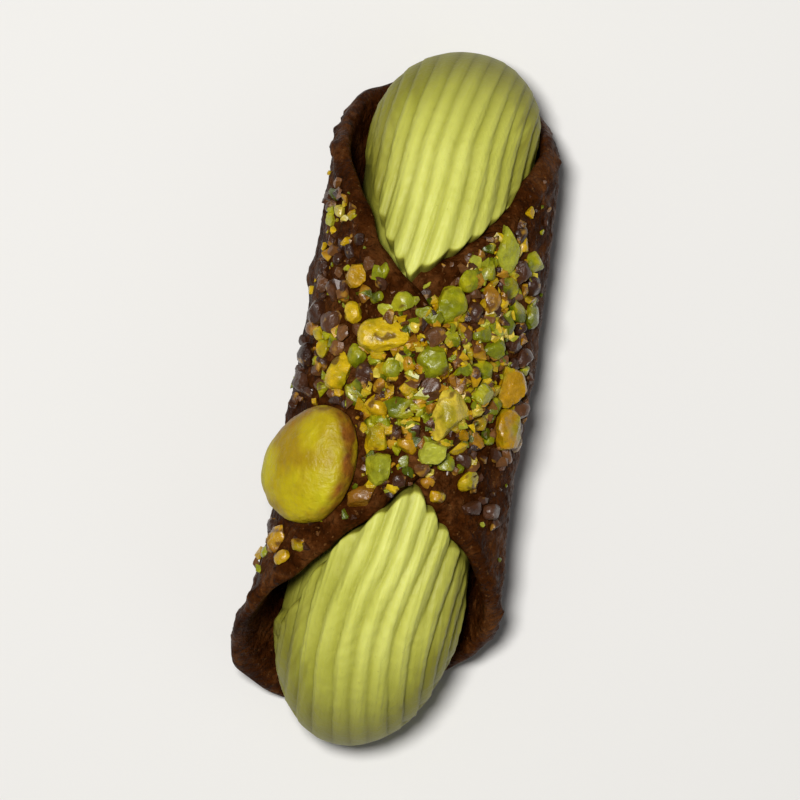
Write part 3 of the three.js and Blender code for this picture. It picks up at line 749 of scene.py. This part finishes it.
def make_cream():
    columns = CREAM_COLUMNS
    angles = np.linspace(-math.pi, math.pi, columns, endpoint=False)
    rows, crests = [], []
    to_tip = 1 - (1 - np.linspace(0, 1, TIP_ROWS)[1:-1]) ** TIP_CROWDING
    for end in (-1, 1):
        edges = edge_places(angles, end)
        crest = cream_ring(angles, edges * end, 1.0, end)[1]
        edges = edges - RIDGE_OVERHANG * crest * (edges < SWELL_LIMIT)
        swelling = []
        for share in np.linspace(0, 1, SWELL_ROWS):
            swell = share * share * (3 - 2 * share)
            swelling.append((edges + mix(-SWELL_BEFORE, SWELL_AFTER, share), swell))
        beyond = [(mix(edges + SWELL_AFTER, HALF_LENGTH, share), 1.0) for share in to_tip]
        block = [cream_ring(angles, place * end, swell, end) for place, swell in swelling + beyond]
        block = block[::end]
        rows += [points for points, _ in block]
        crests += [crest for _, crest in block]
    tips = [
        [NEAR_TIP_LEAN, -HALF_LENGTH, CREAM_TIP_HEIGHT],
        [FAR_TIP_LEAN, HALF_LENGTH, CREAM_TIP_HEIGHT],
    ]
    points = np.concatenate(rows + [np.array(tips)])
    crest = np.concatenate(crests + [np.array([0.5, 0.5])])
    faces = []
    for row in range(len(rows) - 1):
        for i in range(columns):
            a, b = row * columns + i, row * columns + (i + 1) % columns
            faces.append((a, b, b + columns, a + columns))
    near_tip, far_tip = len(points) - 2, len(points) - 1
    last = (len(rows) - 1) * columns
    for i in range(columns):
        j = (i + 1) % columns
        faces.append((near_tip, j, i))
        faces.append((far_tip, last + i, last + j))
    obj = mesh_object("cream_filling", points, faces)
    # How near each point is to a crest; this also sets the painted groove shade and crest highlight in
    # the cream's colour
    paint_attribute(obj, "crest", np.clip(crest, 0, 1))
    # Painted light and shade: the cream's colour is lighter where it faces up, by its broad form without
    # the ridges
    upright = np.array([v.normal.z for v in obj.data.vertices])
    rings = upright[:-2].reshape(len(rows), columns)
    reach = columns // RIDGE_COUNT
    calm = np.mean([np.roll(rings, step, axis=1) for step in range(-reach, reach + 1)], axis=0)
    upright[:-2] = calm.reshape(-1)
    # Painted shade towards both tips of the cream
    tip = smooth(*TIP_SHADE, np.abs(points[:, 1]))
    paint_attribute(obj, "painted_light", smooth(*PAINTED_LIGHT_FACING, upright) * (1 - TIP_SHADE_SHARE * tip))
    return obj


# Pistachio


def standing_frame(point, tilt, turn):
    up = Vector((math.sin(tilt), 0, math.cos(tilt)))
    ahead = Vector((0, 1, 0))
    right = ahead.cross(up)
    basis = Matrix((right, ahead, up)).transposed().to_4x4()
    return Matrix.Translation(Vector(point)) @ basis @ Matrix.Rotation(-turn, 4, "Z")


def thickness(areas, least, x, y):
    share = least
    for middle_x, middle_y, reach_x, reach_y, most in areas:
        away = ((x - middle_x) / reach_x) ** 2 + ((y - middle_y) / reach_y) ** 2
        share = max(share, most * float(smooth(*STREWN_EDGE, away)))
    return share


def strewn_share(x, y):
    return thickness(STREWN, STRAY_SHARE, x, y)


def crumb_share(x, y):
    return max(thickness(CRUMBS_STREWN, CRUMB_STRAYS, x, y), strewn_share(x, y) ** 1.4)


def from_kernel(x, y):
    """Distance to the kernel's outline, seen from above."""
    dx, dy, turn = x - KERNEL["x"], y - KERNEL["y"], KERNEL["turn"]
    across = dx * math.cos(turn) - dy * math.sin(turn)
    along = dx * math.sin(turn) + dy * math.cos(turn)
    return math.hypot(across, along * KERNEL["width"] / KERNEL["length"]) - KERNEL["width"] / 2


def fits(x, y, size, placed):
    if float(outside(angle_at(x), y)[2]) < size / 2 + OPENING_ROOM:
        return False
    if from_kernel(x, y) < KERNEL_ROOM + size / 2:
        return False
    for other in placed:
        away = math.hypot((angle_at(x) - angle_at(other[0])) * WRAP_RADIUS, y - other[1])
        if away <= CROWDING * (size + (other[2] + other[3]) / 2):
            return False
    return True


def scatter_pieces():
    random = make_random(SCATTER_SEED)
    placed = [piece for piece in LARGE_PIECES if fits(piece[0], piece[1], piece[3], [])]
    for count, least, most in SMALL_SIZES:
        for _ in range(count):
            size = mix(least, most, random())
            turn = random() * math.pi
            slim = mix(*SLIMNESS, random())
            for _try in range(TRIES):
                x = mix(*SCATTER_X, random())
                y = mix(*SCATTER_Y, random())
                if random() > strewn_share(x, y) or not fits(x, y, size, placed):
                    continue
                placed.append((x, y, size, size * slim, turn, None, None))
                break
    return placed


def taken_from(made):
    """The points and faces of a bmesh, which is then freed."""
    points = np.array([v.co[:] for v in made.verts])
    faces = [tuple(v.index for v in f.verts) for f in made.faces]
    made.free()
    return points, faces


def ball(levels):
    made = bmesh.new()
    bmesh.ops.create_icosphere(made, subdivisions=levels, radius=1)
    return taken_from(made)


BALLS = {levels: ball(levels) for levels in (COARSE_BALL, FINE_BALL)}


def any_direction(random):
    z = mix(-1, 1, random())
    turn = random() * 2 * math.pi
    flat = math.sqrt(1 - z * z)
    return np.array([flat * math.cos(turn), flat * math.sin(turn), z])


def chunk(random, levels):
    """A ball cut by planes with softened edges: a chopped piece."""
    points, faces = BALLS[levels]
    total = np.zeros(len(points))
    for _ in range(CUTS):
        normal = any_direction(random)
        reach = mix(*CUT_REACH, random())
        total += np.clip(points @ normal / reach, 0, None) ** CUT_SHARPNESS
    total += 1.04 ** -CUT_SHARPNESS
    points = points * (total ** (-1 / CUT_SHARPNESS))[:, None]
    return points, faces


def true_size(points, size):
    """The points moved and stretched to fill a box of that size round the origin."""
    low, high = points.min(axis=0), points.max(axis=0)
    return (points - (low + high) / 2) * np.array(size) / (high - low)


def shard(random):
    """A small angular crumb: the hull of a few points on a ball."""
    made = bmesh.new()
    for _ in range(CRUMB_CORNERS):
        made.verts.new(Vector(any_direction(random)) * mix(0.8, 1, random()))
    bmesh.ops.convex_hull(made, input=made.verts)
    loose = [v for v in made.verts if not v.link_faces]
    bmesh.ops.delete(made, geom=loose, context="VERTS")
    made.verts.index_update()
    return taken_from(made)


def placed_piece(points, faces, x, y, turn, lift):
    angle = angle_at(x)
    radius = float(outside(angle, y)[0]) + lift
    middle = (radius * math.sin(angle), y, AXIS_HEIGHT + radius * math.cos(angle))
    place = np.array(standing_frame(middle, angle, turn))
    return points @ place[:3, :3].T + place[:3, 3], faces


def kind_of(draw, x, y, shares):
    """Kind of a piece by a draw: more of them are coated where they lie thinly."""
    coated = mix(*COATED_SHARE, 1 - min(1, strewn_share(x, y)))
    if draw < coated:
        return "coated"
    draw = (draw - coated) / (1 - coated)
    return "green" if draw < shares[0] else "yellow" if draw < shares[1] else "ochre"


def make_pieces():
    random = make_random(PIECE_SEED)
    batches = {"green": [], "yellow": [], "ochre": [], "coated": []}
    for x, y, length, width, turn, kind, tone in scatter_pieces():
        if kind is None:
            kind, tone = kind_of(random(), x, y, PIECE_SHARES), random()
        points, faces = chunk(random, FINE_BALL if length > FINE_BALL_FROM else COARSE_BALL)
        height = width * PIECE_HEIGHT
        points = true_size(points, (width, length, height))
        bumps = fractal(points, 0.55, 3, random() * 40)
        grains = fractal(points, 1.9, 3, random() * 40)
        reach = np.linalg.norm(points, axis=1)
        relief = 0.16 * bumps * width / 3 + 0.07 * grains
        points = points * (1 + relief / np.maximum(reach, 0.3))[:, None]
        batches[kind].append((*placed_piece(points, faces, x, y, turn, PIECE_LIFT * height), tone))
    return batches


def crumb_places():
    random = make_random(CRUMB_SEED)
    found = []
    for _ in range(CRUMB_COUNT):
        size = mix(*CRUMB_SIZE, random() ** CRUMB_SIZE_POWER)
        for _try in range(CRUMB_TRIES):
            x = mix(*CRUMB_X, random())
            y = mix(*CRUMB_Y, random())
            if random() > crumb_share(x, y):
                continue
            from_opening = float(outside(angle_at(x), y)[2])
            if from_opening < size * 0.5 + 0.1 or from_kernel(x, y) < CRUMB_ROOM:
                continue
            found.append((x, y, size, random() * math.pi))
            break
    return found


def make_crumbs(batches):
    random = make_random(CRUMB_SHAPE_SEED)
    for x, y, size, turn in crumb_places():
        kind = kind_of(random(), x, y, CRUMB_SHARES)
        points, faces = shard(random)
        points = true_size(points, [size * share for share in CRUMB_BOX])
        batches[kind].append((*placed_piece(points, faces, x, y, turn, size * CRUMB_LIFT), random()))


def join_batches(name, batch):
    points, faces, tones, start = [], [], [], 0
    for piece_points, piece_faces, tone in batch:
        points.append(piece_points)
        tones += [tone] * len(piece_points)
        faces += [tuple(k + start for k in f) for f in piece_faces]
        start += len(piece_points)
    obj = mesh_object(name, np.concatenate(points), faces)
    obj.data.set_sharp_from_angle(angle=math.radians(SHARP_FROM))
    paint_attribute(obj, "tone", tones)
    return obj


def make_kernel():
    made = bmesh.new()
    bmesh.ops.create_uvsphere(made, u_segments=128, v_segments=80, radius=1)
    points, faces = taken_from(made)
    x, y, z = points[:, 0], points[:, 1], points[:, 2]
    taper = 1 - KERNEL_TAPER * y
    flat = np.sign(z) * np.abs(z) ** KERNEL_FLATNESS
    size = np.array([KERNEL["width"], KERNEL["length"], KERNEL["height"]])
    shape = np.stack([x * taper, y, flat], axis=-1) * size / 2
    dents = fractal(shape, 0.22, 3, 6.0)
    wrinkles = fractal(shape * np.array([1.0, 0.45, 1.0]), 0.9, 3, 2.0)
    shape = shape * (1 + 0.03 * dents + 0.012 * wrinkles)[:, None]
    # Brown skin along the rim on the right and at the far end
    right = smooth(0.1, 0.7, x * 0.85 + y * 0.5)
    far_end = 0.8 * smooth(0.3, 0.9, y * 0.75 - x * 0.65)
    side = np.maximum(right, far_end)
    level = 0.06 + 0.5 * smooth(0.1, -0.8, x)
    rim = smooth(0.46, 0.16, np.abs(z - level)) * side
    skin = np.clip(rim * (0.9 + 0.6 * fractal(shape, 0.6, 3, 9.0)), 0, 1)
    height = AXIS_HEIGHT + math.sqrt(KERNEL_REACH**2 - KERNEL["x"] ** 2)
    place = np.array(standing_frame((KERNEL["x"], KERNEL["y"], height), KERNEL_TILT, KERNEL["turn"]))
    obj = mesh_object("whole_kernel", shape @ place[:3, :3].T + place[:3, 3], faces)
    paint_attribute(obj, "skin", skin)
    return obj


# Putting it together


def add_piece(obj, material, node):
    obj.data.materials.append(material)
    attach(obj, "root")
    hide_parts(node)


add_piece(make_shell(), chocolate_material(), "shell")
add_piece(make_cream(), cream_material(), "cream")
add_piece(make_kernel(), kernel_material(), "kernel")
nuts = make_pieces()
make_crumbs(nuts)
for kind, (stops, core, skin_from) in NUT_KINDS.items():
    material = nut_material("nut_" + kind, stops, core, skin_from)
    add_piece(join_batches("chopped_" + kind, nuts[kind]), material, "shell")
add_piece(join_batches("chopped_coated", nuts["coated"]), coated_material(), "shell")


def make_floor():
    mesh = bpy.data.meshes.new("floor")
    reach = FLOOR_REACH
    corners = [(-reach, -reach, 0), (reach, -reach, 0), (reach, reach, 0), (-reach, reach, 0)]
    mesh.from_pydata(corners, [], [(0, 1, 2, 3)])
    floor = bpy.data.objects.new("floor", mesh)
    bpy.context.scene.collection.objects.link(floor)
    m = Material("pale_floor", (0.82, 0.82, 0.81, 1), 0.6)
    floor.data.materials.append(m.material)


def add_area(name, place, size, power, colour):
    data = bpy.data.lights.new(name, "AREA")
    data.shape = "DISK"
    data.size = size
    data.energy = power
    data.color = colour
    obj = bpy.data.objects.new(name, data)
    obj.location = place
    obj.rotation_euler = (Vector(MIDDLE) - Vector(place)).to_track_quat("-Z", "Y").to_euler()
    bpy.context.scene.collection.objects.link(obj)


def make_world():
    world = bpy.data.worlds.new("studio")
    world.use_nodes = True
    background = world.node_tree.nodes["Background"]
    background.inputs["Color"].default_value = (1, 1, 1, 1)
    background.inputs["Strength"].default_value = WORLD_STRENGTH
    bpy.context.scene.world = world


def make_camera():
    """A camera that looks straight down; +Y of the part leans to the right in its picture."""
    data = bpy.data.cameras.new("camera")
    data.lens = LENS
    data.sensor_width = SENSOR
    data.clip_end = 10
    camera = bpy.data.objects.new("camera", data)
    camera.location = (CAMERA_X, CAMERA_Y, MIDDLE[2] + PICTURE_WIDTH * LENS / SENSOR)
    camera.rotation_euler = (0, 0, math.radians(CAMERA_TURN))
    bpy.context.scene.collection.objects.link(camera)
    return camera


make_floor()
add_area("key", KEY_PLACE, KEY_SIZE, KEY_POWER, (1, 0.98, 0.95))
add_area("fill", FILL_PLACE, FILL_SIZE, FILL_POWER, (0.95, 0.97, 1))
make_world()
bpy.context.scene.camera = make_camera()
bpy.context.scene.view_settings.view_transform = "Standard"
bpy.context.scene.view_settings.look = "None"
